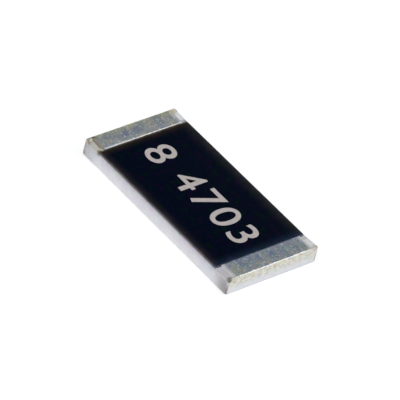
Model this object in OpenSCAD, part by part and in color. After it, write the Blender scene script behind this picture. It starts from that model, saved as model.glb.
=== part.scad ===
// Thick-film chip resistor for surface mounting, 6.3 x 3.1 mm case.
// A snapped alumina chip carries a laser-trimmed resistor film under two printed coats.
// Each end has a wrap-around terminal of fired silver, plated with nickel and then tin.
// Millimetres: X runs along the chip, Y across it, and Z = 0 is the plane the two pads stand on.

/* [Chip] */
// Overall length over the plated ends
chip_l = 6.30; // [5.80:0.05:6.80]
// Overall width
chip_w = 3.10; // [2.80:0.05:3.40]

/* [Ceramic] */
// Thickness of the alumina substrate
ceramic_t = 0.445; // [0.30:0.005:0.70]
// Bevel that the scored break leaves along the long edges
break_bevel = 0.015; // [0.005:0.005:0.02]

/* [Terminals] */
// Length of a plated terminal on the top face
top_terminal_l = 0.58; // [0.50:0.02:0.74]
// Length of a plated pad on the underside
pad_l = 0.50; // [0.40:0.05:0.90]
// Bare ceramic left on each side of a top lip
terminal_margin = 0.21; // [0.16:0.01:0.35]
// Bare ceramic left on each side of a pad
pad_margin = 0.03; // [0.02:0.01:0.20]
// Reach of the full-width end plating over the top edge
end_wrap = 0.10; // [0.08:0.01:0.20]
// Radius where a top lip flares out into the full-width end
flare_r = 0.08; // [0.06:0.01:0.15]
// Rounding of the fired end electrode at the edges of the end face
end_corner_r = 0.024; // [0.008:0.001:0.03]
// Rounding of the fired end electrode's top corners, seen from the end
shoulder_r = 0.050; // [0.020:0.005:0.060]
// Rounding of the fired lips along their inner edge
lip_edge_r = 0.010; // [0.004:0.001:0.015]

/* [Terminal layers] */
// Thickness of the printed electrodes on the top face
electrode_t = 0.010; // [0.006:0.001:0.02]
// Thickness of the printed electrodes on the underside
pad_electrode_t = 0.006; // [0.005:0.001:0.02]
// Thickness of the end electrode over the end face
end_electrode_t = 0.026; // [0.010:0.001:0.04]
// Thickness of the end electrode's lips over the top electrodes
top_lip_t = 0.047; // [0.02:0.001:0.06]
// Thickness of the end electrode's lips under the bottom electrodes
pad_lip_t = 0.005; // [0.005:0.001:0.03]
// Thickness of the nickel barrier
nickel_t = 0.006; // [0.005:0.001:0.012]
// Thickness of the tin plating
tin_t = 0.010; // [0.006:0.001:0.02]

/* [Resistor film] */
// Length of a top electrode, from the ceramic's end to where it is lost under the film
top_electrode_l = 1.00; // [0.90:0.05:1.30]
// Width of the resistor film
film_w = 2.30; // [2.00:0.05:2.40]
// Thickness of the resistor film
film_t = 0.010; // [0.006:0.001:0.02]
// Length of film that laps onto each top electrode
film_lap = 0.20; // [0.10:0.01:0.30]
// Width of the laser cut that trims the film to value
trim_kerf = 0.05; // [0.03:0.005:0.08]
// Position of the trim cut along the film
trim_x = -0.55; // [-1.00:0.05:0.00]
// Depth of the trim cut into the film, from its edge
trim_depth = 0.95; // [0.50:0.05:1.30]
// Length of the trim cut's leg along the film
trim_leg = 0.90; // [0.30:0.05:1.20]

/* [Coats] */
// Thickness of the glass coat over the film
glass_t = 0.008; // [0.005:0.001:0.015]
// Reach of the glass past the film on every side
glass_lap = 0.08; // [0.05:0.01:0.12]
// Thickness of the overcoat above the highest glass
overcoat_t = 0.010; // [0.006:0.001:0.02]
// Bare ceramic beside the overcoat
overcoat_margin = 0.02; // [0.02:0.01:0.15]
// Radius of the overcoat's corners, seen from above
overcoat_corner_r = 0.06; // [0.04:0.01:0.20]
// Rounding of the overcoat's long top edges
overcoat_edge_r = 0.025; // [0.010:0.005:0.03]

/* [Hidden] */
$fn = 48;
// Overshoot that carries a cut clear of the face it starts from
cut_past = 0.2;
left = -1;
right = 1;

half_l = chip_l / 2;
half_w = chip_w / 2;
plating_t = nickel_t + tin_t;

// The ceramic, held off the pads' plane by the layers under it
ceramic_l = chip_l - 2 * (end_electrode_t + plating_t);
ceramic_z0 = pad_electrode_t + pad_lip_t + plating_t;
ceramic_z1 = ceramic_z0 + ceramic_t;
ceramic_mid_z = ceramic_z0 + ceramic_t / 2;
chip_t = ceramic_z1 + electrode_t + top_lip_t + plating_t;

// Roundings of the ends, no larger than the fired silver they are in
end_round = min(end_corner_r, end_electrode_t);
shoulder_round = min(shoulder_r, electrode_t + top_lip_t);

// The printed electrodes: as wide as the lips and pads that cover them
electrode_w = chip_w - 2 * (terminal_margin + plating_t);
electrode_x = ceramic_l / 2 - top_electrode_l;
pad_electrode_w = chip_w - 2 * (pad_margin + plating_t);
pad_electrode_x = half_l - pad_l + plating_t;

// Film and coats, as heights above the ceramic and half lengths
film_half_l = electrode_x + film_lap;
film_top = electrode_t + film_t;
glass_half_l = film_half_l + glass_lap;
glass_w = film_w + 2 * glass_lap;
glass_top = film_top + glass_t;
overcoat_l = chip_l - 2 * top_terminal_l;
overcoat_w = chip_w - 2 * overcoat_margin;
overcoat_top = glass_top + overcoat_t;

// Puts a shape drawn for the right end at the asked end
module at_end(side) {
    if (side == left) mirror([1, 0, 0]) children();
    else children();
}

// A block from x0 to x1, centred across the chip
module slab(x0, x1, width, z0, height) {
    translate([x0, -width / 2, z0])
        cube([x1 - x0, width, height]);
}

// Runs a section drawn in X and Z across the chip
module across(width) {
    translate([0, width / 2, 0])
        rotate([90, 0, 0])
            linear_extrude(width) children();
}

// Runs a section drawn in Y and Z along the chip
module along(length) {
    translate([-length / 2, 0, 0])
        rotate([90, 0, 90])
            linear_extrude(length) children();
}

// What rounding takes off a corner that points to +X +Y and has its tip at the origin
module corner_waste(r) {
    difference() {
        translate([-r, -r]) square(r + cut_past);
        translate([-r, -r]) circle(r);
    }
}

// A rectangle centred on the origin with round corners
module round_rect(length, width, r) {
    difference() {
        square([length, width], center = true);
        for (sx = [-1, 1], sy = [-1, 1])
            scale([sx, sy])
                translate([length / 2, width / 2]) corner_waste(r);
    }
}

module ceramic_substrate() {
    y_flat = half_w - break_bevel;
    z_low = ceramic_z0 + break_bevel;
    z_high = ceramic_z1 - break_bevel;
    color("ghostwhite")
        along(ceramic_l)
            polygon([
                [-y_flat, ceramic_z0], [y_flat, ceramic_z0],
                [half_w, z_low], [half_w, z_high],
                [y_flat, ceramic_z1], [-y_flat, ceramic_z1],
                [-half_w, z_high], [-half_w, z_low]
            ]);
}

module top_electrode(side) {
    color("gainsboro")
        at_end(side)
            slab(electrode_x, ceramic_l / 2, electrode_w, ceramic_z1, electrode_t);
}

module bottom_electrode(side) {
    z_low = ceramic_z0 - pad_electrode_t;
    color("gainsboro")
        at_end(side)
            slab(pad_electrode_x, ceramic_l / 2, pad_electrode_w, z_low, pad_electrode_t);
}

// L-shaped laser cut: in from the film's near edge, then along the film
module trim_cut() {
    y_edge = -glass_w / 2;
    y_turn = -film_w / 2 + trim_depth;
    translate([0, 0, ceramic_z1 - cut_past])
        linear_extrude(overcoat_top + 2 * cut_past) {
            translate([trim_x - trim_kerf / 2, y_edge - cut_past])
                square([trim_kerf, y_turn - y_edge + cut_past]);
            translate([trim_x, y_turn - trim_kerf / 2])
                square([trim_leg, trim_kerf]);
            for (x = [trim_x, trim_x + trim_leg])
                translate([x, y_turn]) circle(d = trim_kerf);
        }
}

// Film section: flat on the ceramic, up the electrodes' inner edges and onto their tops
module film_section() {
    riser_x = electrode_x - film_t;
    polygon([
        [-electrode_x, 0], [electrode_x, 0],
        [electrode_x, electrode_t], [film_half_l, electrode_t],
        [film_half_l, film_top], [riser_x, film_top],
        [riser_x, film_t], [-riser_x, film_t],
        [-riser_x, film_top], [-film_half_l, film_top],
        [-film_half_l, electrode_t], [-electrode_x, electrode_t]
    ]);
}

// Section of a printed layer and all under it; the layer keeps its thickness over the electrodes' steps
module covered_section(half_length, low_top, high_top) {
    step_x = electrode_x - low_top;
    polygon([
        [-half_length, -cut_past], [half_length, -cut_past],
        [half_length, high_top], [step_x, high_top],
        [step_x, low_top], [-step_x, low_top],
        [-step_x, high_top], [-half_length, high_top]
    ]);
}

// The film, and the glass over it, each with all that it covers
module under_film() {
    translate([0, 0, ceramic_z1])
        across(film_w) covered_section(film_half_l, film_t, film_top);
}

module under_glass() {
    translate([0, 0, ceramic_z1])
        across(glass_w) covered_section(glass_half_l, film_t + glass_t, glass_top);
}

// Everything up to the ceramic's top face, and up to the electrodes' tops where they lie
module under_print() {
    slab(-chip_l, chip_l, 2 * chip_w, ceramic_z1 - 2 * cut_past, 2 * cut_past);
    for (side = [left, right])
        at_end(side)
            slab(electrode_x, chip_l, electrode_w, ceramic_z1 - cut_past, cut_past + electrode_t);
}

module resistor_film() {
    color("dimgray")
        difference() {
            translate([0, 0, ceramic_z1]) across(film_w) film_section();
            trim_cut();
        }
}

module glass_coat() {
    color("darkseagreen")
        difference() {
            under_glass();
            under_film();
            under_print();
            trim_cut();
        }
}

// Overcoat section: flat on top, with rounded long edges
module overcoat_section() {
    difference() {
        translate([-overcoat_w / 2, -cut_past]) square([overcoat_w, cut_past + overcoat_top]);
        for (sy = [-1, 1])
            scale([sy, 1])
                translate([overcoat_w / 2, overcoat_top]) corner_waste(overcoat_edge_r);
    }
}

// The overcoat fills the trim cut and levels the steps of what lies under it
module overcoat() {
    color([0.02, 0.03, 0.09])
        difference() {
            intersection() {
                translate([0, 0, ceramic_z1]) along(overcoat_l) overcoat_section();
                translate([0, 0, ceramic_z1 - cut_past])
                    linear_extrude(overcoat_top + 2 * cut_past)
                        round_rect(overcoat_l, overcoat_w, overcoat_corner_r);
            }
            under_print();
            difference() {
                under_glass();
                trim_cut();
            }
        }
}

// Half of a terminal's section, from the ceramic's mid plane out to one lip, grown by the plating so far
module lip_section(length, fired_t, grown) {
    x_front = half_l - length + plating_t - grown;
    x_end = half_l - plating_t + grown;
    height = ceramic_t / 2 + fired_t + grown;
    difference() {
        translate([x_front, 0]) square([x_end - x_front, height]);
        translate([x_end, height]) corner_waste(end_round + grown);
        translate([x_front, height]) mirror([1, 0]) corner_waste(lip_edge_r + grown);
    }
}

// Section of the right terminal as a filled block
module terminal_section(grown) {
    translate([0, ceramic_mid_z]) {
        lip_section(top_terminal_l, electrode_t + top_lip_t, grown);
        mirror([0, 1]) lip_section(pad_l, pad_electrode_t + pad_lip_t, grown);
    }
}

// Plan of the right terminal, as wide as the chip
module terminal_plan(grown) {
    x_start = half_l - max(top_terminal_l, pad_l);
    x_end = half_l - plating_t + grown;
    y_end = half_w - plating_t + grown;
    difference() {
        translate([x_start, -y_end]) square([x_end - x_start, 2 * y_end]);
        for (sy = [-1, 1])
            scale([1, sy])
                translate([x_end, y_end]) corner_waste(end_round + grown);
    }
}

// Plan of the bare ceramic beside the top lip, which flares out into the full-width end
module lip_notches(grown) {
    x_start = half_l - top_terminal_l - cut_past;
    x_wrap = half_l - end_wrap + plating_t - grown;
    y_lip = electrode_w / 2 + grown;
    for (sy = [-1, 1])
        scale([1, sy])
            difference() {
                translate([x_start, y_lip]) square([x_wrap - x_start, half_w]);
                translate([x_wrap, y_lip]) mirror([0, 1]) corner_waste(flare_r - grown);
            }
}

// Room beside the pad: up the ceramic's side, and under the full-width end as high as the break bevel
module pad_notches(grown) {
    x_start = half_l - max(top_terminal_l, pad_l) - cut_past;
    x_wrap = half_l - end_wrap + plating_t - grown;
    z_end = ceramic_z0 + break_bevel + plating_t - grown;
    z_side = ceramic_z1 - break_bevel;
    y_pad = pad_electrode_w / 2 + grown;
    for (sy = [-1, 1])
        translate([0, sy * (y_pad + half_w), 0])
            across(chip_w)
                polygon([
                    [x_start, -cut_past], [half_l + cut_past, -cut_past],
                    [half_l + cut_past, z_end], [x_wrap, z_end],
                    [x_wrap, z_side], [x_start, z_side]
                ]);
}

// What rounding takes off the top corners of the ends
module shoulder_waste(grown) {
    along(chip_l + cut_past)
        for (sy = [-1, 1])
            scale([sy, 1])
                translate([half_w - plating_t + grown, chip_t - plating_t + grown])
                    corner_waste(shoulder_round + grown);
}

// The right terminal out to one of its layers, still filled inside
module terminal_block(grown) {
    difference() {
        intersection() {
            across(chip_w) terminal_section(grown);
            linear_extrude(chip_t) terminal_plan(grown);
        }
        translate([0, 0, ceramic_mid_z])
            linear_extrude(chip_t) lip_notches(grown);
        pad_notches(grown);
        shoulder_waste(grown);
    }
}

// One layer of a terminal: the block less what lies inside that layer
module terminal_layer(side, grown) {
    difference() {
        at_end(side) terminal_block(grown);
        ceramic_substrate();
        top_electrode(side);
        bottom_electrode(side);
        children();
    }
}

module end_electrode(side) {
    color("silver")
        terminal_layer(side, 0);
}

module nickel_barrier(side) {
    color("darkkhaki")
        terminal_layer(side, nickel_t)
            at_end(side) terminal_block(0);
}

module tin_plating(side) {
    color("lightslategray")
        terminal_layer(side, plating_t)
            at_end(side) terminal_block(nickel_t);
}

ceramic_substrate();
resistor_film();
glass_coat();
overcoat();
top_electrode(left);  // top_electrode_left
top_electrode(right);  // top_electrode_right
bottom_electrode(left);  // bottom_electrode_left
bottom_electrode(right);  // bottom_electrode_right
end_electrode(left);  // end_electrode_left
end_electrode(right);  // end_electrode_right
nickel_barrier(left);  // nickel_barrier_left
nickel_barrier(right);  // nickel_barrier_right
tin_plating(left);  // tin_plating_left
tin_plating(right);  // tin_plating_right
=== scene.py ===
import math

import bmesh
import bpy
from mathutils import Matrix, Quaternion, Vector


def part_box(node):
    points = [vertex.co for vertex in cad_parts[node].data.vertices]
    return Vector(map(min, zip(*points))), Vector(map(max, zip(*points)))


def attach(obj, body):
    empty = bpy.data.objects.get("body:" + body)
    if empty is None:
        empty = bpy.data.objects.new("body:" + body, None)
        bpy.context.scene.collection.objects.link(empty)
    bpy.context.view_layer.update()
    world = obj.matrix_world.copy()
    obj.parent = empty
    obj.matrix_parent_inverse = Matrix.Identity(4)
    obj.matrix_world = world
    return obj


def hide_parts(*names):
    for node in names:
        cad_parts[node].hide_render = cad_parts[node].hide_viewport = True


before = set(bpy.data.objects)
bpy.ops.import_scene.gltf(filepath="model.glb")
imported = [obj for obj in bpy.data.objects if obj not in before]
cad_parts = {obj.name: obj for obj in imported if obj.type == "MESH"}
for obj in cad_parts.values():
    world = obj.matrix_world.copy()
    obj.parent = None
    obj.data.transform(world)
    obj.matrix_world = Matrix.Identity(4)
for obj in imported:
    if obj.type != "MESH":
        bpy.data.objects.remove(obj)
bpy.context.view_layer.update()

mm = 0.001
slack = 0.0005  # mm, within which two places count as the same
smoothAngle = 40  # degrees, up to which neighbouring faces are shaded as one
bpy.context.scene.view_settings.view_transform = "Standard"
print("frame loaded:", len(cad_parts), "nodes")


# General helpers. Pieces are modelled in millimetres and brought to metres when they are finished.

def linear(hexText):
    parts = [int(hexText[i:i + 2], 16) / 255 for i in (1, 3, 5)]
    return tuple(p / 12.92 if p <= 0.04045 else ((p + 0.055) / 1.055) ** 2.4 for p in parts) + (1.0,)


def perSize(sizeMm):
    return 1 / (sizeMm * mm)  # texture scale that gives features of this size


def addNode(tree, kind, inputs=None, stops=None, **settings):
    node = tree.nodes.new(kind)
    for name, value in settings.items():
        setattr(node, name, value)
    for name, value in (inputs or {}).items():
        if isinstance(value, bpy.types.Node):  # a node stands for its first output
            value = next(socket for socket in value.outputs if not socket.is_unavailable)
        if isinstance(value, bpy.types.NodeSocket):
            tree.links.new(value, node.inputs[name])
        else:
            node.inputs[name].default_value = value
    for i, (place, colour) in enumerate(stops or []):
        stop = node.color_ramp.elements[i] if i < 2 else node.color_ramp.elements.new(place)
        stop.position = place
        stop.color = linear(colour)
    return node


def newMaterial(name):
    material = bpy.data.materials.new(name)
    material.use_nodes = True
    material.node_tree.nodes.clear()
    tree = material.node_tree
    place = addNode(tree, "ShaderNodeTexCoord").outputs["Object"]
    return material, tree, place


def chipAxes(tree, place):
    axes = addNode(tree, "ShaderNodeSeparateXYZ", {0: place}).outputs
    along = addNode(tree, "ShaderNodeMath", {0: axes["X"]}, operation="ABSOLUTE")
    across = addNode(tree, "ShaderNodeMath", {0: axes["Y"]}, operation="ABSOLUTE")
    return axes, along, across


def addSpots(tree, place, colour, marks):
    for spot, core, reach, strength, tone in marks.values():
        gap = addNode(tree, "ShaderNodeVectorMath", {0: place, 1: Vector(spot) * mm}, operation="DISTANCE")
        fade = addNode(tree, "ShaderNodeMapRange", {
            "Value": gap, "From Min": core * mm, "From Max": reach * mm, "To Min": strength, "To Max": 0.0},
            interpolation_type="SMOOTHSTEP")
        colour = addNode(tree, "ShaderNodeMix", {0: fade, "A": colour, "B": linear(tone)}, data_type="RGBA")
    return colour


def nodeBox(node):
    low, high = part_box(node)
    return low / mm, high / mm


def addBlock(name, low, high):
    bpy.ops.object.select_all(action="DESELECT")
    low, high = Vector(low), Vector(high)
    bpy.ops.mesh.primitive_cube_add(size=1, location=(low + high) / 2, scale=high - low)
    bpy.ops.object.transform_apply(location=True, rotation=True, scale=True)
    piece = bpy.context.object
    piece.name = name
    return piece


def makeActive(piece):
    bpy.ops.object.select_all(action="DESELECT")
    piece.select_set(True)
    bpy.context.view_layer.objects.active = piece


def pickEdges(piece, test):
    makeActive(piece)
    bpy.ops.object.mode_set(mode="EDIT")
    bpy.ops.mesh.select_mode(type="EDGE")
    bpy.ops.mesh.select_all(action="DESELECT")
    work = bmesh.from_edit_mesh(piece.data)
    for edge in work.edges:
        if test(edge.verts[0].co, edge.verts[1].co):
            edge.select_set(True)
    bmesh.update_edit_mesh(piece.data)


def pickFaces(piece, test):
    makeActive(piece)
    bpy.ops.object.mode_set(mode="EDIT")
    bpy.ops.mesh.select_mode(type="FACE")
    bpy.ops.mesh.select_all(action="DESELECT")
    work = bmesh.from_edit_mesh(piece.data)
    for face in work.faces:
        if test(face.calc_center_median(), face.normal):
            face.select_set(True)
    bmesh.update_edit_mesh(piece.data)


def bevelEdges(piece, test, radius, segments):
    pickEdges(piece, test)
    bpy.ops.mesh.bevel(offset=radius, segments=segments, affect="EDGES", clamp_overlap=False)
    bpy.ops.object.mode_set(mode="OBJECT")


def subdivideEdges(piece, test, cuts):
    pickEdges(piece, test)
    bpy.ops.mesh.subdivide(number_cuts=cuts)
    bpy.ops.object.mode_set(mode="OBJECT")


def applyModifier(piece, kind, **settings):
    makeActive(piece)
    modifier = piece.modifiers.new(kind.lower(), kind)
    for name, value in settings.items():
        setattr(modifier, name, value)
    bpy.ops.object.modifier_apply(modifier=modifier.name)


def cutAway(piece, cutter):
    applyModifier(piece, "BOOLEAN", operation="DIFFERENCE", solver="EXACT", object=cutter)
    bpy.data.objects.remove(cutter)


def near(a, b, gap=slack):
    return abs(a - b) < gap


def alongX(a, b):
    return near(a.y, b.y) and near(a.z, b.z)


def alongZ(a, b):
    return near(a.x, b.x) and near(a.y, b.y)


def finishPiece(piece, material, replaced=()):
    makeActive(piece)
    piece.scale = (mm, mm, mm)
    bpy.ops.object.transform_apply(location=True, rotation=True, scale=True)
    bpy.ops.object.shade_smooth_by_angle(angle=math.radians(smoothAngle))
    applyModifier(piece, "WEIGHTED_NORMAL", keep_sharp=True)
    piece.data.materials.clear()
    piece.data.materials.append(material)
    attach(piece, "root")
    if replaced:
        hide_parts(*replaced)
    print("piece done:", piece.name, len(piece.data.polygons), "faces")


# Camera at the photograph's angle: a long lens with the chip turned a little in the frame.

cameraView = {
    "azimuth": -47.12,  # degrees from +X
    "elevation": 38.92,
    "roll": 14.18,
    "distance": 130.0,  # mm from the aim
    "aim": (0.0, 0.0, 0.3),
    "pxPerMm": 37.557,  # at the aim
    "aimPx": (199.26, 198.50),  # where the aim lies in the frame
    "framePx": 400,
    "sensor": 36.0,
    "clip": (10.0, 5000.0),  # mm
}


def towards(azimuth, elevation):
    a, e = math.radians(azimuth), math.radians(elevation)
    return Vector((math.cos(e) * math.cos(a), math.cos(e) * math.sin(a), math.sin(e)))


def makeCamera(view):
    back = towards(view["azimuth"], view["elevation"])
    data = bpy.data.cameras.new("camera")
    camera = bpy.data.objects.new("camera", data)
    bpy.context.scene.collection.objects.link(camera)
    camera.location = (Vector(view["aim"]) + back * view["distance"]) * mm
    turn = Quaternion((0, 0, 1), math.radians(view["roll"]))
    camera.rotation_mode = "QUATERNION"
    camera.rotation_quaternion = back.to_track_quat("Z", "Y") @ turn
    middle = (view["framePx"] - 1) / 2
    data.sensor_width = view["sensor"]
    data.lens = view["sensor"] * view["pxPerMm"] * view["distance"] / view["framePx"]
    data.shift_x = (middle - view["aimPx"][0]) / view["framePx"]
    data.shift_y = (view["aimPx"][1] - middle) / view["framePx"]
    data.clip_start = view["clip"][0] * mm
    data.clip_end = view["clip"][1] * mm
    bpy.context.scene.camera = camera


makeCamera(cameraView)
print("camera set")


# Studio: white floor, a pale horizon that dims upwards, and three softboxes.

studio = {
    # floor in metres: its opening lets light reach the underside of the chip, which covers it
    "floorSize": 1.2,
    "floorBorder": 0.5,
    "floorOpening": (0.0062, 0.0030),
    "floorColour": "#bcbcbc",
    "floorGlow": 0.66,  # added where the floor is seen or mirrored, so that it reads as white
    "horizon": (0.04, "#ffffff"),  # up to this height, as a sine
    "sky": (0.40, "#8f9294"),  # from this height
    "lamps": {
        # azimuth, elevation, distance and size in metres, power in watts
        "edgeSoftbox": (42, 32, 0.30, 0.27, 0.30),
        "sideSoftbox": (-95, 28, 0.30, 0.32, 0.385),
        "topSoftbox": (-60, 82, 0.30, 0.24, 0.16),
    },
}


def makeFloor(setup):
    bpy.ops.object.select_all(action="DESELECT")
    bpy.ops.mesh.primitive_plane_add(size=setup["floorSize"])
    floor = bpy.context.object
    floor.name = "studio_floor"
    bpy.ops.object.mode_set(mode="EDIT")
    bpy.ops.mesh.inset(thickness=setup["floorBorder"])
    inner = setup["floorSize"] - 2 * setup["floorBorder"]
    openX, openY = setup["floorOpening"]
    bpy.ops.transform.resize(value=(openX / inner, openY / inner, 1), center_override=(0, 0, 0))
    bpy.ops.mesh.delete(type="FACE")
    bpy.ops.object.mode_set(mode="OBJECT")
    material, tree = newMaterial("white seamless paper")[:2]
    ray = addNode(tree, "ShaderNodeLightPath")
    seen = addNode(tree, "ShaderNodeMath", {
        0: ray.outputs["Is Camera Ray"], 1: ray.outputs["Is Glossy Ray"]}, operation="MAXIMUM")
    seen = addNode(tree, "ShaderNodeMath", {
        0: seen, 1: ray.outputs["Is Transmission Ray"]}, operation="MAXIMUM")
    strength = addNode(tree, "ShaderNodeMath", {
        0: seen, 1: setup["floorGlow"]}, operation="MULTIPLY")
    paper = addNode(tree, "ShaderNodeBsdfDiffuse", {"Color": linear(setup["floorColour"])})
    glow = addNode(tree, "ShaderNodeEmission", {"Strength": strength})
    both = addNode(tree, "ShaderNodeAddShader", {0: paper, 1: glow})
    below = addNode(tree, "ShaderNodeNewGeometry").outputs["Backfacing"]
    clear = addNode(tree, "ShaderNodeBsdfTransparent")
    shader = addNode(tree, "ShaderNodeMixShader", {0: below, 1: both, 2: clear})
    addNode(tree, "ShaderNodeOutputMaterial", {"Surface": shader})
    floor.data.materials.append(material)


def makeWorld(setup):
    world = bpy.data.worlds.new("studio")
    bpy.context.scene.world = world
    world.use_nodes = True
    tree = world.node_tree
    tree.nodes.clear()
    way = addNode(tree, "ShaderNodeTexCoord").outputs["Generated"]
    height = addNode(tree, "ShaderNodeSeparateXYZ", {0: way}).outputs["Z"]
    shade = addNode(tree, "ShaderNodeValToRGB", {0: height}, stops=[setup["horizon"], setup["sky"]])
    glow = addNode(tree, "ShaderNodeBackground", {"Color": shade})
    addNode(tree, "ShaderNodeOutputWorld", {"Surface": glow})


def makeLamps(setup):
    for name, (azimuth, elevation, distance, size, power) in setup["lamps"].items():
        data = bpy.data.lights.new(name, "AREA")
        data.shape = "DISK"
        data.size = size
        data.energy = power
        lamp = bpy.data.objects.new(name, data)
        bpy.context.scene.collection.objects.link(lamp)
        out = towards(azimuth, elevation)
        lamp.location = out * distance
        lamp.rotation_mode = "QUATERNION"
        lamp.rotation_quaternion = out.to_track_quat("Z", "Y")


makeFloor(studio)
makeWorld(studio)
makeLamps(studio)
print("studio set")


# Alumina chip: a flat tile snapped from a scored sheet, so its long sides are slightly uneven.

aluminaChip = {
    "breakBevel": 0.022,
    "cutsAlong": 150,
    "cutsUp": 9,
    "breakDepth": 0.005,
    "breakGrain": 0.10,
    "dullFrom": 2.45,  # distance along the chip at which it begins to grey towards the ends
    "dullTo": 3.05,
    "trace": (0.05, 0.45),  # width and strength of the overcoat's trace on the break edge
    "cloudSize": 0.6,
    "castSize": 0.22,
    "grainSize": 0.04,  # real grain is about 0.005: drawn coarser so that it shows
    "marks": {
        # place, core, reach, strength, colour
        "darkRightEnd": ((3.12, -1.55, 0.18), 0.04, 0.50, 0.70, "#8f8a8b"),  # darker low on the right end of the front side
        "flux": ((-2.70, -1.38, 0.47), 0.04, 0.24, 0.80, "#c4c6a6"),  # beside the left lip
        "frontBleed": ((-2.56, -1.47, 0.47), 0.04, 0.14, 0.90, "#5a451c"),  # overcoat past its left corners
        "backBleed": ((-2.58, 1.49, 0.47), 0.04, 0.11, 0.60, "#5e5a3c"),
        "leftLow": ((-3.14, -1.55, 0.12), 0.04, 0.17, 0.60, "#8f868a"),  # dull left end of the front side
        "leftHigh": ((-3.14, -1.55, 0.34), 0.04, 0.15, 0.50, "#958c90"),
    },
}


def firedAlumina(setup):
    # As-fired 96 % alumina: a dense, faintly lavender white with a dry matt grain. Painted shade darkens it
    # towards the top and painted bounce light from the floor lightens it towards the bottom, and it greys
    # towards its ends
    material, tree, place = newMaterial("fired alumina")
    low, high = nodeBox("ceramic_substrate")
    coatX = nodeBox("overcoat")[1].x
    axes, along, across = chipAxes(tree, place)
    cloud = addNode(tree, "ShaderNodeTexNoise", {
        "Vector": place, "Scale": perSize(setup["cloudSize"]), "Detail": 3.0, "Roughness": 0.6})
    tint = addNode(tree, "ShaderNodeValToRGB", {0: cloud}, stops=[(0.30, "#f0eff6"), (0.70, "#fbfafe")])
    # painted shade and light: darker towards the top, lighter towards the bottom where bounce light from the
    # floor falls
    height = addNode(tree, "ShaderNodeMapRange", {
        "Value": axes["Z"], "From Min": low.z * mm, "From Max": high.z * mm})
    shade = addNode(tree, "ShaderNodeValToRGB", {0: height}, stops=[
        (0.05, "#ffffff"), (1.0, "#d9d8db"), (0.55, "#f5f4f6")])
    shadedTint = addNode(tree, "ShaderNodeMix", {0: 1.0, "A": tint, "B": shade},
                      data_type="RGBA", blend_type="MULTIPLY")
    # faint pink, green and blue casts left by the firing
    cast = addNode(tree, "ShaderNodeTexNoise", {
        "Vector": place, "Scale": perSize(setup["castSize"]), "Detail": 2.0, "Roughness": 0.6})
    fired = addNode(tree, "ShaderNodeMix", {0: 0.6, "A": shadedTint, "B": cast.outputs["Color"]},
                    data_type="RGBA", blend_type="OVERLAY")
    # greyer towards the ends, more so on the front side
    dull = addNode(tree, "ShaderNodeMapRange", {
        "Value": along, "From Min": setup["dullFrom"] * mm, "From Max": setup["dullTo"] * mm,
        "To Max": 0.85}, interpolation_type="SMOOTHSTEP")
    front = addNode(tree, "ShaderNodeMapRange", {
        "Value": axes["Y"], "From Min": 0.5 * mm, "From Max": -0.5 * mm,
        "To Min": 0.1, "To Max": 0.7})
    dull = addNode(tree, "ShaderNodeMath", {0: dull, 1: front}, operation="MULTIPLY")
    greyedEnds = addNode(tree, "ShaderNodeMix", {0: dull, "A": fired, "B": linear("#b9b7ba")}, data_type="RGBA")
    # a trace of overcoat on the break edge beside it
    upper = addNode(tree, "ShaderNodeMapRange", {
        "Value": axes["Z"], "From Min": (high.z - 0.050) * mm, "From Max": (high.z - 0.005) * mm})
    outer = addNode(tree, "ShaderNodeMapRange", {
        "Value": across, "From Min": (high.y - 0.04) * mm, "From Max": (high.y - 0.02) * mm})
    width, strength = setup["trace"]
    inner = addNode(tree, "ShaderNodeMapRange", {
        "Value": along, "From Min": coatX * mm, "From Max": (coatX + width) * mm,
        "To Min": strength, "To Max": 0.0})
    trace = addNode(tree, "ShaderNodeMath", {0: upper, 1: outer}, operation="MULTIPLY")
    trace = addNode(tree, "ShaderNodeMath", {0: trace, 1: inner}, operation="MULTIPLY")
    colour = addNode(tree, "ShaderNodeMix", {0: trace, "A": greyedEnds, "B": linear("#77757c")}, data_type="RGBA")
    colour = addSpots(tree, place, colour, setup["marks"])
    grain = addNode(tree, "ShaderNodeTexNoise", {
        "Vector": place, "Scale": perSize(setup["grainSize"]), "Detail": 2.0, "Roughness": 0.5})
    speck = addNode(tree, "ShaderNodeValToRGB", {0: grain}, stops=[(0.24, "#a9a6ae"), (0.36, "#ffffff")])
    grained = addNode(tree, "ShaderNodeMix", {0: 0.5, "A": colour, "B": speck},
                      data_type="RGBA", blend_type="MULTIPLY")
    bump = addNode(tree, "ShaderNodeBump", {"Height": grain, "Strength": 0.35, "Distance": 0.004 * mm})
    shader = addNode(tree, "ShaderNodeBsdfPrincipled", {
        "Base Color": grained, "Roughness": 0.62, "IOR": 1.76, "Specular IOR Level": 0.3, "Normal": bump})
    addNode(tree, "ShaderNodeOutputMaterial", {"Surface": shader})
    return material


def makeChip(setup):
    low, high = nodeBox("ceramic_substrate")
    chip = addBlock("alumina_chip", low, high)
    bevelEdges(chip, alongX, setup["breakBevel"], segments=2)
    subdivideEdges(chip, alongX, setup["cutsAlong"])
    subdivideEdges(chip, lambda a, b: alongZ(a, b) and near(abs(a.y), high.y), setup["cutsUp"])
    sides = chip.vertex_groups.new(name="snapped_sides")
    sides.add([v.index for v in chip.data.vertices if near(abs(v.co.y), high.y)], 1.0, "ADD")
    rough = bpy.data.textures.new("snappedBreak", "CLOUDS")
    rough.noise_scale = setup["breakGrain"]
    applyModifier(chip, "DISPLACE", texture=rough, vertex_group="snapped_sides",
                  strength=-setup["breakDepth"], mid_level=0.0)
    finishPiece(chip, firedAlumina(setup), ["ceramic_substrate"])


makeChip(aluminaChip)


# Overcoat: a screen-printed epoxy film with round corners and a soft, slightly wavy edge.

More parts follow.
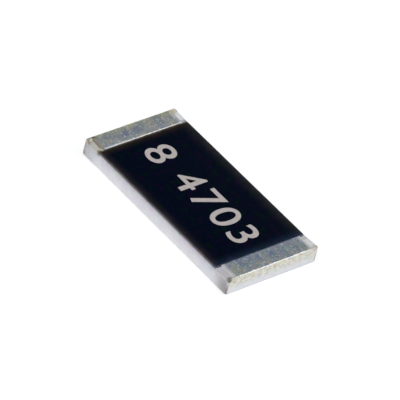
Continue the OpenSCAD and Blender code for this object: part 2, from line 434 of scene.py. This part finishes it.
overcoatFilm = {
    "cornerRadius": 0.06,
    "edgeRadius": 0.025,
    "edgeCuts": 110,
    "waveDepth": 0.006,
    "waveLength": 0.22,
    "cloudSize": 0.26,
    "peelSize": 0.09,
    # where the film thins out: width, tint
    "frontEdge": (0.32, "#463c3b"),
    "backEdge": (0.44, "#42403b"),
    "leftEnd": (0.30, "#4a3a1a"),
    "rightEnd": (0.36, "#324562"),
    "rim": (0.07, "#8c8a90"),
}


def epoxyOvercoat(setup):
    # Screen-printed black epoxy: deep navy black with green and violet casts, silky, and smoky, brown or blue
    # where its edges are thin
    material, tree, place = newMaterial("epoxy overcoat")
    high = nodeBox("overcoat")[1]
    cloud = addNode(tree, "ShaderNodeTexNoise", {
        "Vector": place, "Scale": perSize(setup["cloudSize"]), "Detail": 4.0, "Roughness": 0.6})
    colour = addNode(tree, "ShaderNodeValToRGB", {0: cloud}, stops=[
        (0.38, "#001311"), (0.62, "#0c0620"), (0.46, "#00051d"), (0.54, "#000918")])
    axes, along, across = chipAxes(tree, place)
    for way, edge, (width, tint) in (
            (axes["Y"], -high.y, setup["frontEdge"]), (axes["Y"], high.y, setup["backEdge"]),
            (axes["X"], -high.x, setup["leftEnd"]), (axes["X"], high.x, setup["rightEnd"]),
            (across, high.y, setup["rim"]), (along, high.x, setup["rim"])):
        thin = addNode(tree, "ShaderNodeMapRange", {
            "Value": way, "From Min": (edge - math.copysign(width, edge)) * mm, "From Max": edge * mm})
        thin = addNode(tree, "ShaderNodeMath", {0: thin, 1: 2.0}, operation="POWER")
        patchy = addNode(tree, "ShaderNodeMath", {0: thin, 1: cloud}, operation="MULTIPLY")
        colour = addNode(tree, "ShaderNodeMix", {0: patchy, "A": colour, "B": linear(tint)}, data_type="RGBA")
    peel = addNode(tree, "ShaderNodeTexNoise", {
        "Vector": place, "Scale": perSize(setup["peelSize"]), "Detail": 2.0})
    rough = addNode(tree, "ShaderNodeMapRange", {"Value": peel, "To Min": 0.46, "To Max": 0.60})
    bump = addNode(tree, "ShaderNodeBump", {"Height": peel, "Strength": 0.2, "Distance": 0.004 * mm})
    shader = addNode(tree, "ShaderNodeBsdfPrincipled", {
        "Base Color": colour, "Roughness": rough, "IOR": 1.5, "Specular IOR Level": 0.02, "Normal": bump})
    addNode(tree, "ShaderNodeOutputMaterial", {"Surface": shader})
    return material


def makeOvercoat(setup):
    low, high = nodeBox("overcoat")
    coat = addBlock("epoxy_overcoat", low, high)
    bevelEdges(coat, alongZ, setup["cornerRadius"], segments=6)
    bevelEdges(coat, lambda a, b: near(a.z, high.z) and near(b.z, high.z), setup["edgeRadius"], segments=4)
    subdivideEdges(coat, lambda a, b: alongX(a, b) and (a - b).length > 1, setup["edgeCuts"])
    wave = bpy.data.textures.new("printEdge", "CLOUDS")
    wave.noise_scale = setup["waveLength"]
    for side in (-1, 1):
        edge = coat.vertex_groups.new(name="long_edge")
        edge.add([v.index for v in coat.data.vertices
                  if v.co.y * side > high.y - setup["edgeRadius"]], 1.0, "ADD")
        applyModifier(coat, "DISPLACE", texture=wave, vertex_group=edge.name, direction="Y",
                      strength=-side * setup["waveDepth"], mid_level=0.0)
    # room underneath for the electrodes and the glass-covered film
    for node in ("top_electrode_left", "top_electrode_right", "glass_coat"):
        cutLow, cutHigh = nodeBox(node)
        cutLow.z -= 0.1  # past the underside
        cutAway(coat, addBlock("print_room", cutLow, cutHigh))
    finishPiece(coat, epoxyOvercoat(setup), ["overcoat"])


makeOvercoat(overcoatFilm)


# Tin terminals: a plated skin round each end, with a lip over the top and a full-width pad underneath.

tinTerminal = {
    "padLength": 0.50,
    "padMargin": 0.03,
    "sideMargin": 0.21,
    "endWrap": 0.10,
    "flareRadius": 0.064,
    "endRadius": 0.045,
    "shoulderRadius": 0.066,
    "footRadius": 0.080,
    "bottomShare": 0.4,  # share of endRadius that the bottom edge of the end face has
    "lipRadius": {"left": 0.050, "right": 0.024},
    "padEdgeRadius": 0.018,
    "skirtLength": 0.35,  # the ears thin out over this length of the bare margins
    "skirtRise": {"left": 0.018, "right": 0.044},
    "tanFrom": 0.10,  # heights between which the end faces turn from clean tin to mottled
    "tanTo": 0.40,
    "cloudSize": 0.30,
    "castSize": 0.14,
    "mottleSize": 0.075,
    # real crystals are about 0.005: they and the painted glints among them are drawn coarser so that they
    # show
    "crystalSize": 0.05,
    "glintSize": 0.09,
    # thin plating: beside the lip, on the margin, on the ear; the front left tint beside the lip is painted
    # shade on that lip's flank
    "frontLeft": ("#958f85", "#d6d2c8", "#ece8da"),
    "frontRight": ("#d0ced0", "#d4d1d3", "#c8c3c3"),
    "backLeft": ("#e4e2da", "#fafafc", "#e6e3da"),
    "backRight": ("#e6e3de", "#f4f3f7", "#ddd5c4"),
    "spots": {
        # darker and paler spots at the corners, the front right one painted shade: place, core, reach,
        # strength, colour
        # painted shade in the front right corner, where the ear's side meets its wall
        "frontRight": ((3.14, -1.50, 0.51), 0.020, 0.130, 0.95, "#43352a"),
        "frontLeft": ((-3.10, -1.33, 0.54), 0.008, 0.055, 0.60, "#4c4236"),
        "leftEar": ((-3.03, -1.55, 0.485), 0.024, 0.160, 0.65, "#8f8474"),
        "backRight": ((3.12, 1.50, 0.53), 0.009, 0.060, 0.60, "#a38260"),
        "backLeft": ((-3.06, 1.38, 0.54), 0.030, 0.200, 0.60, "#bfb591"),
    },
}


def matteTin(setup):
    # Matte electroplated tin: satin grey with cloudy blue and olive patches and painted glints on top,
    # paler and mottled with tan, mint and pink on the end faces, and thin, dry and creamy where it
    # feathers out beside the lips. Painted sheen lightens the left lip's outer edge, and painted shade
    # darkens the front left lip's flank, the front right corner, the ends of the top edges and the thin
    # plating's outer edge
    material, tree, place = newMaterial("matte tin plating")
    low, high = nodeBox("tin_plating_right")
    lipY = high.y - setup["sideMargin"]
    axes, along, across = chipAxes(tree, place)
    cloud = addNode(tree, "ShaderNodeTexNoise", {
        "Vector": place, "Scale": perSize(setup["cloudSize"]), "Detail": 4.0, "Roughness": 0.65})
    ragged = addNode(tree, "ShaderNodeMath", {0: cloud, 1: 0.16 * mm, 2: across}, operation="MULTIPLY_ADD")
    # soft steps from one part of the plating to the next: direction, start and end in mm
    step = {}
    for name, way, start, stop in (
            ("rightward", axes["X"], -1, 1),
            ("backward", axes["Y"], -1, 1),
            ("onEnd", along, high.x - 0.016, high.x - 0.002),
            ("mottled", axes["Z"], setup["tanFrom"], setup["tanTo"]),
            ("inside", along, high.x - 0.020, high.x - 0.050),
            ("raised", axes["Z"], high.z - 0.100, high.z - 0.070),
            ("lipSide", ragged, lipY - 0.06, lipY + 0.08),
            ("margin", across, lipY + 0.01, lipY + 0.06),
            ("ear", along, high.x - setup["endWrap"] - 0.06, high.x - setup["endWrap"] - 0.01),
            ("corner", across, high.y - 0.085, high.y - 0.025),
            ("foot", axes["Z"], 0.48, 0.16),
            ("edge", along, high.x - 0.045, high.x - 0.020),
            ("brow", axes["Z"], high.z - 0.060, high.z - 0.030),
            ("flank", across, 0.95, 1.50)):
        step[name] = addNode(tree, "ShaderNodeMapRange", {
            "Value": way, "From Min": start * mm, "From Max": stop * mm}, interpolation_type="SMOOTHSTEP")
    # the plating drifts from bluish at the coat to plain grey, and to olive at the left end's edge, which is
    # lightened there as painted sheen of the lip's crown
    outward = addNode(tree, "ShaderNodeMapRange", {
        "Value": along, "From Min": low.x * mm, "From Max": high.x * mm})
    leftTintAndSheen = addNode(tree, "ShaderNodeValToRGB", {0: outward}, stops=[
        (0.10, "#f0f0f2"), (0.95, "#fffee0"), (0.50, "#e3e6ec"), (0.74, "#f4f0e2")])
    rightTint = addNode(tree, "ShaderNodeValToRGB", {0: outward}, stops=[
        (0.00, "#a4adc0"), (0.95, "#eeeeee"), (0.09, "#dce4f6"), (0.55, "#dbe4e6")])
    driftAndSheen = addNode(tree, "ShaderNodeMix", {0: step["rightward"], "A": leftTintAndSheen, "B": rightTint},
                    data_type="RGBA")
    tint = addNode(tree, "ShaderNodeValToRGB", {0: cloud}, stops=[
        (0.34, "#d3dff6"), (0.66, "#fffdea"), (0.50, "#f0f4f8")])
    clouded = addNode(tree, "ShaderNodeMix", {0: 1.0, "A": driftAndSheen, "B": tint},
                      data_type="RGBA", blend_type="MULTIPLY")
    # thin oxide casts, red, green and blue by turns
    cast = addNode(tree, "ShaderNodeTexNoise", {
        "Vector": place, "Scale": perSize(setup["castSize"]), "Detail": 2.0, "Roughness": 0.6})
    oxide = addNode(tree, "ShaderNodeMix", {0: 0.6, "A": clouded, "B": cast.outputs["Color"]},
                    data_type="RGBA", blend_type="OVERLAY")
    crystal = addNode(tree, "ShaderNodeTexNoise", {
        "Vector": place, "Scale": perSize(setup["crystalSize"]), "Detail": 2.0})
    flake = addNode(tree, "ShaderNodeValToRGB", {0: crystal}, stops=[(0.30, "#b4b4b4"), (0.70, "#ffffff")])
    flaked = addNode(tree, "ShaderNodeMix", {0: 0.7, "A": oxide, "B": flake},
                     data_type="RGBA", blend_type="MULTIPLY")
    # painted glints: sparse near-white flecks of base colour where crystals would catch the light
    glintNoise = addNode(tree, "ShaderNodeTexNoise", {
        "Vector": place, "Scale": perSize(setup["glintSize"]), "Detail": 1.0})
    paintedGlint = addNode(tree, "ShaderNodeMapRange", {
        "Value": glintNoise, "From Min": 0.57, "From Max": 0.70, "To Max": 0.9})
    plated = addNode(tree, "ShaderNodeMix", {0: paintedGlint, "A": flaked, "B": linear("#fcfdff")}, data_type="RGBA")
    # the pads underneath are plainer
    plain = addNode(tree, "ShaderNodeMapRange", {"Value": step["foot"], "To Max": 0.75})
    plated = addNode(tree, "ShaderNodeMix", {0: plain, "A": plated, "B": linear("#c3c4c6")}, data_type="RGBA")
    # end faces: clean at the bottom, mottled towards the top edge
    level = addNode(tree, "ShaderNodeMapping", {"Vector": place, "Scale": (1, 0.6, 1)})
    mottle = addNode(tree, "ShaderNodeTexNoise", {
        "Vector": level, "Scale": perSize(setup["mottleSize"]), "Detail": 2.5, "Roughness": 0.6})
    patches = addNode(tree, "ShaderNodeValToRGB", {0: mottle}, stops=[
        (0.34, "#b9b29f"), (0.66, "#e2d6d5"), (0.46, "#cec9bb"), (0.56, "#d5d8d0")])
    ended = addNode(tree, "ShaderNodeMix", {
        0: step["mottled"], "A": linear("#d6d8dc"), "B": patches}, data_type="RGBA")
    ended = addNode(tree, "ShaderNodeMix", {0: 0.3, "A": ended, "B": cast.outputs["Color"]},
                    data_type="RGBA", blend_type="OVERLAY")
    colour = addNode(tree, "ShaderNodeMix", {0: step["onEnd"], "A": plated, "B": ended}, data_type="RGBA")
    # thin dry plating beside the lips and on the ears, with painted shade on the front left lip's flank; only
    # the front left ear keeps its metal gloss
    top = addNode(tree, "ShaderNodeMath", {0: step["raised"], 1: step["inside"]}, operation="MULTIPLY")
    thin = addNode(tree, "ShaderNodeMath", {0: step["lipSide"], 1: top}, operation="MULTIPLY")
    sides = []
    for left, right in (("frontLeft", "frontRight"), ("backLeft", "backRight")):
        ends = []
        for name in (left, right):
            lipTintAndShade, marginTint, earTint = setup[name]
            outer = addNode(tree, "ShaderNodeMix", {
                0: step["ear"], "A": linear(marginTint), "B": linear(earTint)}, data_type="RGBA")
            ends.append(addNode(tree, "ShaderNodeMix", {
                0: step["margin"], "A": linear(lipTintAndShade), "B": outer}, data_type="RGBA"))
        sides.append(addNode(tree, "ShaderNodeMix", {
            0: step["rightward"], "A": ends[0], "B": ends[1]}, data_type="RGBA"))
    feathered = addNode(tree, "ShaderNodeMix", {0: step["backward"], "A": sides[0], "B": sides[1]},
                        data_type="RGBA")
    colour = addNode(tree, "ShaderNodeMix", {0: thin, "A": colour, "B": feathered}, data_type="RGBA")
    bare = addNode(tree, "ShaderNodeMath", {0: 1.0, 1: step["ear"]}, operation="SUBTRACT")
    dry = addNode(tree, "ShaderNodeMath", {0: step["rightward"], 1: step["backward"]}, operation="MAXIMUM")
    dry = addNode(tree, "ShaderNodeMath", {0: dry, 1: bare}, operation="MAXIMUM")
    dry = addNode(tree, "ShaderNodeMath", {0: thin, 1: dry}, operation="MULTIPLY")
    metallic = addNode(tree, "ShaderNodeMapRange", {"Value": dry, "To Min": 1.0, "To Max": 0.15})
    colour = addSpots(tree, place, colour, setup["spots"])
    # darker lower corners, painted shade that fades the top edges' highlight towards their ends, and painted
    # shade on the lit outer edge of the thin plating
    step["thin"] = thin
    for names, share, tone in (
            (("corner", "foot"), 0.85, "#7c7474"),
            # painted shade on the highlight of the top edges
            (("edge", "brow", "flank"), 0.60, "#9a9484"),
            # painted shade on the lit outer edge of the thin plating
            (("corner", "thin"), 0.12, "#8f8c8c")):
        dull = share
        for name in names:
            dull = addNode(tree, "ShaderNodeMath", {0: dull, 1: step[name]}, operation="MULTIPLY")
        colour = addNode(tree, "ShaderNodeMix", {0: dull, "A": colour, "B": linear(tone)}, data_type="RGBA")
    rough = addNode(tree, "ShaderNodeMapRange", {
        "Value": cloud, "From Min": 0.3, "From Max": 0.7, "To Min": 0.33, "To Max": 0.46})
    bump = addNode(tree, "ShaderNodeBump", {"Height": crystal, "Strength": 0.3, "Distance": 0.005 * mm})
    shader = addNode(tree, "ShaderNodeBsdfPrincipled", {
        "Base Color": colour, "Metallic": metallic, "Roughness": rough, "Normal": bump})
    addNode(tree, "ShaderNodeOutputMaterial", {"Surface": shader})
    return material


def makeTerminal(name, setup, material):
    low, high = nodeBox("tin_plating_" + name)
    chipLow, chipHigh = nodeBox("ceramic_substrate")
    skin = (nodeBox("nickel_barrier_" + name)[0] - low).z
    side = 1 if name == "right" else -1
    tip = high.x if side == 1 else low.x
    chipEnd = chipHigh.x if side == 1 else chipLow.x
    wrapX = tip - side * setup["endWrap"]
    length = high.x - low.x
    lipY = high.y - setup["sideMargin"]
    padY = high.y - setup["padMargin"]
    middle = (chipLow.z + chipHigh.z) / 2
    over = 0.5  # how far cutters reach past what they cut

    def box(label, inner, outer, y0, y1, z0, z1):
        # inner and outer are distances back from the terminal's tip
        x0, x1 = sorted((tip - side * inner, tip - side * outer))
        return addBlock(label, (x0, y0, z0), (x1, y1, z1))

    terminal = box("tin_terminal_" + name, length, 0, low.y, high.y, low.z, high.z)
    bevelEdges(terminal, lambda a, b: alongX(a, b) and near(a.z, high.z), setup["shoulderRadius"], segments=6)
    bevelEdges(terminal, lambda a, b: alongX(a, b) and near(a.z, low.z) and near(abs(a.y), high.y),
               setup["footRadius"], segments=6)
    bevelEdges(terminal, lambda a, b: near(a.x, tip) and near(b.x, tip), setup["endRadius"], segments=6)
    # the bottom edge of the end face is drawn in to a smaller radius
    reach = setup["endRadius"] + 2 * slack
    share = setup["bottomShare"]
    pickEdges(terminal, lambda a, b: all(
        near(p.x, tip, reach) and p.z < reach
        and abs(p.y) < high.y - setup["footRadius"] + 2 * slack for p in (a, b)))
    bpy.ops.transform.resize(value=(share, 1, share), center_override=(tip, 0, low.z))
    bpy.ops.object.mode_set(mode="OBJECT")
    # bare ceramic beside the lip and the pad, and nothing under the chip past the pad
    rise = setup["skirtRise"][name]
    run = length + over - setup["endWrap"]
    floor = chipHigh.z + rise * (1 - run / setup["skirtLength"])
    for y0, y1 in ((lipY, high.y + over), (low.y - over, -lipY)):
        notch = box("notch", length + over, setup["endWrap"], y0, y1, floor, high.z + over)
        pickEdges(notch, lambda a, b: all(near(p.x, wrapX) and near(p.z, floor) for p in (a, b)))
        bpy.ops.transform.translate(value=(0, 0, chipHigh.z + rise - floor))
        bpy.ops.object.mode_set(mode="OBJECT")
        bevelEdges(notch, lambda a, b: alongZ(a, b) and near(a.x, wrapX) and near(abs(a.y), lipY),
                   setup["flareRadius"], segments=8)
        cutAway(terminal, notch)
    for y0, y1 in ((padY, high.y + over), (low.y - over, -padY)):
        cutAway(terminal, box("pad_side", length + over, setup["endWrap"], y0, y1,
                              low.z - over, (middle + chipHigh.z) / 2))
    cutAway(terminal, box("pad_cut", length + over, setup["padLength"], low.y - over, high.y + over,
                          low.z - over, middle))

    def onOutline(height):
        return lambda a, b: (all((p.x - wrapX) * side < slack for p in (a, b))
                             and near(a.z, height) and near(b.z, height))

    bevelEdges(terminal, onOutline(high.z), setup["lipRadius"][name], segments=5)
    bevelEdges(terminal, onOutline(low.z), setup["padEdgeRadius"], segments=3)
    # open the inside where the chip sits, and leave a skin as thick as the plating
    chip = box("chip_cut", length + over, abs(tip - chipEnd), low.y, high.y, chipLow.z, chipHigh.z)
    bevelEdges(chip, alongX, aluminaChip["breakBevel"], segments=2)
    cutAway(terminal, chip)
    pickFaces(terminal, lambda c, n: (near(c.x, chipEnd) and abs(n.x) > 0.9)
              or (chipLow.z - slack < c.z < chipHigh.z + slack and abs(n.z) > 0.3
                  and (c.x - chipEnd) * side < -slack))
    bpy.ops.mesh.delete(type="FACE")
    bpy.ops.object.mode_set(mode="OBJECT")
    applyModifier(terminal, "SOLIDIFY", thickness=skin, offset=-1.0, use_even_offset=True)
    finishPiece(terminal, material, ["tin_plating_" + name])


tin = matteTin(tinTerminal)
for end in ("left", "right"):
    makeTerminal(end, tinTerminal, tin)


# Printed mark: plain digits in pale ink on the overcoat.

printedMark = {
    "digits": "8 4703",
    "height": 0.93,
    "width": 1.08,  # digits a little wider than the font's own
    "spacing": 1.12,
    "weight": 0.006,
    "inkDepth": 0.006,
    "sunk": 0.002,
    "cloudSize": 0.12,
}


def paleInk(setup):
    # Screen-printed marking ink: warm pale grey, chalky, a little uneven where it is thin
    material, tree, place = newMaterial("pale marking ink")
    cloud = addNode(tree, "ShaderNodeTexNoise", {
        "Vector": place, "Scale": perSize(setup["cloudSize"]), "Detail": 3.0})
    tint = addNode(tree, "ShaderNodeValToRGB", {0: cloud}, stops=[(0.30, "#bdb4b2"), (0.70, "#c8c0be")])
    bump = addNode(tree, "ShaderNodeBump", {"Height": cloud, "Strength": 0.2, "Distance": 0.004 * mm})
    shader = addNode(tree, "ShaderNodeBsdfPrincipled", {
        "Base Color": tint, "Roughness": 0.7, "Specular IOR Level": 0.2, "Normal": bump})
    addNode(tree, "ShaderNodeOutputMaterial", {"Surface": shader})
    return material


def makeMark(setup):
    top = nodeBox("overcoat")[1].z
    bpy.ops.object.select_all(action="DESELECT")
    bpy.ops.object.text_add()
    mark = bpy.context.object
    mark.name = "printed_mark"
    mark.data.body = setup["digits"]
    mark.data.align_x = "CENTER"
    mark.data.space_character = setup["spacing"]
    mark.data.offset = setup["weight"]
    mark.data.extrude = setup["inkDepth"] / 2
    bpy.ops.object.convert(target="MESH")
    corners = [v.co for v in mark.data.vertices]
    left, right = min(c.x for c in corners), max(c.x for c in corners)
    foot, head = min(c.y for c in corners), max(c.y for c in corners)
    growY = setup["height"] / (head - foot)
    growX = growY * setup["width"]
    mark.scale = (growX, growY, 1)
    mark.location = (-growX * (left + right) / 2, -growY * (foot + head) / 2,
                     top + setup["inkDepth"] / 2 - setup["sunk"])
    bpy.ops.object.transform_apply(location=True, rotation=True, scale=True)
    print("mark runs", round(growX * (right - left), 3), "mm")
    finishPiece(mark, paleInk(setup))


makeMark(printedMark)


# Layers under the coat and the tin: they keep their CAD shapes and get their own finishes.

hiddenLayers = {
    # nodes: name, dark and pale tint, grain in mm, metallic, roughness
    ("resistor_film",): ("ruthenium oxide film", "#26262a", "#37363a", 0.05, 0.0, 0.75),
    ("glass_coat",): ("green cover glass", "#5c7766", "#6f8977", 0.25, 0.0, 0.18),
    ("top_electrode_left", "top_electrode_right", "bottom_electrode_left", "bottom_electrode_right"):
        ("printed silver", "#c4c1b8", "#d8d6cf", 0.06, 1.0, 0.55),
    ("end_electrode_left", "end_electrode_right"): ("fired silver", "#bdb9ae", "#d0cdc4", 0.08, 1.0, 0.60),
    ("nickel_barrier_left", "nickel_barrier_right"): ("plated nickel", "#b3a993", "#c3bba8", 0.10, 1.0, 0.40),
}


def layerFinish(name, dark, pale, grain, metallic, roughness):
    # Fired pastes are dry and grainy, plated nickel is warm and satin, cover glass is smooth and green
    material, tree, place = newMaterial(name)
    noise = addNode(tree, "ShaderNodeTexNoise", {
        "Vector": place, "Scale": perSize(grain), "Detail": 3.0, "Roughness": 0.6})
    tint = addNode(tree, "ShaderNodeValToRGB", {0: noise}, stops=[(0.3, dark), (0.7, pale)])
    rough = addNode(tree, "ShaderNodeMapRange", {
        "Value": noise, "To Min": roughness - 0.08, "To Max": roughness + 0.08})
    bump = addNode(tree, "ShaderNodeBump", {"Height": noise, "Strength": 0.2, "Distance": 0.002 * mm})
    shader = addNode(tree, "ShaderNodeBsdfPrincipled", {
        "Base Color": tint, "Metallic": metallic, "Roughness": rough, "Normal": bump})
    addNode(tree, "ShaderNodeOutputMaterial", {"Surface": shader})
    return material


for nodes, finish in hiddenLayers.items():
    layer = layerFinish(*finish)
    for node in nodes:
        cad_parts[node].material_slots[0].material = layer
print("hidden layers finished")
